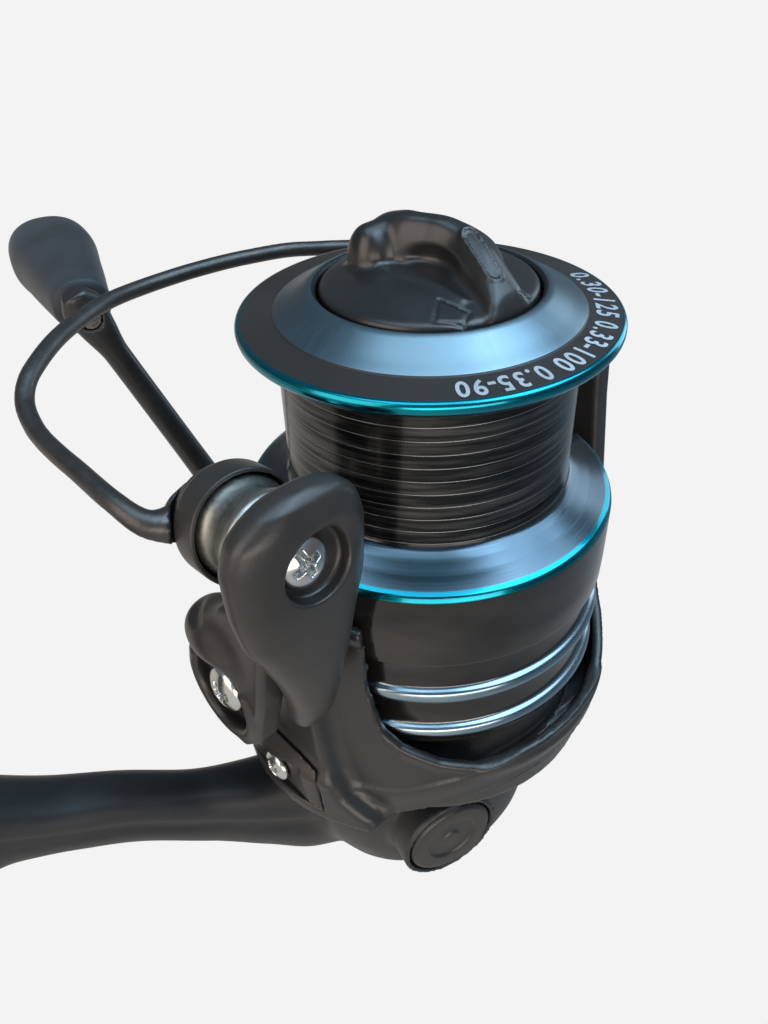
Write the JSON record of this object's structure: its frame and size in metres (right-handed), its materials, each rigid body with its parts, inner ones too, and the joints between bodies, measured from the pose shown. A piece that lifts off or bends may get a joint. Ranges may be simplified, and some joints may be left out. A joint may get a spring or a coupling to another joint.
{
  "type": "spinning reel",
  "caption": "Open-face spinning fishing reel: foot and stem, crank handle, rotor with folding wire bail and line roller, skirted spool with top drag knob.",
  "frame": {"origin": "centre of the foot's flat seat face", "axes": "+Z along the spool axis, from the body's tail to the drag knob; -X out of the foot's seat, away from the reel; +Y towards the crank handle"},
  "size_m": [0.1125, 0.1176, 0.1154],
  "materials": {
    "graphite_plastic": "satin moulded graphite",
    "rotor_plastic": "satin navy black",
    "spool_metal": "brushed and anodised, with teal rings",
    "knob_plastic": "satin black",
    "bail_wire_metal": "dark grey satin",
    "roller_chrome": "polished",
    "grip_rubber": "soft matte grip",
    "felt": "greased felt",
    "seal_rubber": "matte",
    "brass": "machined",
    "nylon": "natural nylon",
    "screw_chrome": "bright plated",
    "steel": "turned and ground"
  },
  "bodies": {
    "reel_body": {"body_frame": "graphite_plastic", "side_cover": "graphite_plastic", "cover_screw_1": "screw_chrome", "cover_screw_2": "screw_chrome", "cover_screw_3": "screw_chrome", "boss_cap": "graphite_plastic", "one_way_clutch": "steel", "clutch_retainer": "steel", "pinion_bearing": "steel", "drive_bearing_inner": "steel", "drive_bearing_outer": "steel", "slider_guide_rod": "steel"},
    "crank": {"handle_arm": "graphite_plastic", "knob_spindle": "steel", "drive_shaft": "steel", "drive_gear": "brass"},
    "crank_knob": {"handle_knob": "grip_rubber", "knob_cap": "graphite_plastic"},
    "rotor_unit": {"rotor": "rotor_plastic", "rotor_nut": "brass", "nut_lock_screw": "screw_chrome", "pinion": "brass", "clutch_sleeve": "steel", "roller_arm_cover": "graphite_plastic", "roller_arm_cover_screw": "screw_chrome", "holder_arm_cover": "graphite_plastic", "holder_arm_cover_screw": "screw_chrome", "bail_pivot_screw": "screw_chrome", "holder_pivot_screw": "screw_chrome"},
    "bail": {"bail_arm": "graphite_plastic", "bail_wire": "bail_wire_metal", "bail_cap": "graphite_plastic", "roller_bushing": "nylon", "roller_screw": "screw_chrome", "bail_holder": "graphite_plastic"},
    "roller": {"line_roller": "roller_chrome"},
    "shaft_unit": {"main_shaft": "steel", "spool_seat": "nylon", "shaft_pin": "steel", "slider": "nylon", "slider_screw": "screw_chrome", "drag_washer_keyed_1": "steel", "drag_washer_keyed_2": "steel"},
    "spool_unit": {"spool": "spool_metal", "line_clip": "steel", "drag_felt_1": "felt", "drag_felt_2": "felt", "drag_washer_eared": "steel", "drag_retaining_ring": "steel"},
    "drag_plate": {"drag_pressure_plate": "steel", "drag_spring": "steel"},
    "knob_unit": {"drag_knob": "knob_plastic", "drag_nut": "brass", "drag_seal": "seal_rubber"},
    "oscillator": {"oscillation_gear": "nylon"}
  },
  "joints": [
    {"name": "handle_turn", "type": "hinge", "parent": "reel_body", "child": "crank", "pos_m": [0.067, 0.03, -0.029], "axis": [0, 1, 0], "continuous": true},
    {"name": "handle_knob_spin", "type": "hinge", "parent": "crank", "child": "crank_knob", "pos_m": [0.04134, 0.073, 0.03613], "axis": [0, 1, 0], "continuous": true},
    {"name": "rotor_spin", "type": "hinge", "parent": "reel_body", "child": "rotor_unit", "pos_m": [0.075, 0, -0.01], "axis": [0, 0, 1], "continuous": true},
    {"name": "bail_flip", "type": "hinge", "parent": "rotor_unit", "child": "bail", "pos_m": [0.075, 0, 0.009], "axis": [0.9659, 0.2588, 0], "range_deg": [0, 93]},
    {"name": "line_roller_spin", "type": "hinge", "parent": "bail", "child": "roller", "pos_m": [0.04471, -0.0164, 0.0376], "axis": [0.2041, -0.9602, 0.1908], "continuous": true},
    {"name": "spool_stroke", "type": "slide", "parent": "reel_body", "child": "shaft_unit", "axis": [0, 0, 1], "range_m": [-0.0075, 0.004]},
    {"name": "spool_drag_slip", "type": "hinge", "parent": "shaft_unit", "child": "spool_unit", "pos_m": [0.075, 0, 0.038], "axis": [0, 0, 1], "continuous": true},
    {"name": "drag_knob_turn", "type": "hinge", "parent": "drag_plate", "child": "knob_unit", "pos_m": [0.075, 0, 0.054], "axis": [0, 0, 1], "range_deg": [0, 540]},
    {"name": "drag_knob_lift", "type": "slide", "parent": "shaft_unit", "child": "drag_plate", "axis": [0, 0, 1], "range_m": [0, 0.0012]},
    {"name": "oscillation_gear_turn", "type": "hinge", "parent": "reel_body", "child": "oscillator", "pos_m": [0.075, -0.008, -0.04192], "axis": [0, 1, 0], "continuous": true}
  ],
  "couplings": [
    {"joint": "rotor_spin", "follows": "handle_turn", "ratio": 5.25},
    {"joint": "oscillation_gear_turn", "follows": "handle_turn", "ratio": -0.52},
    {"joint": "drag_knob_turn", "follows": "drag_knob_lift", "rad_per_m": 7854}
  ]
}
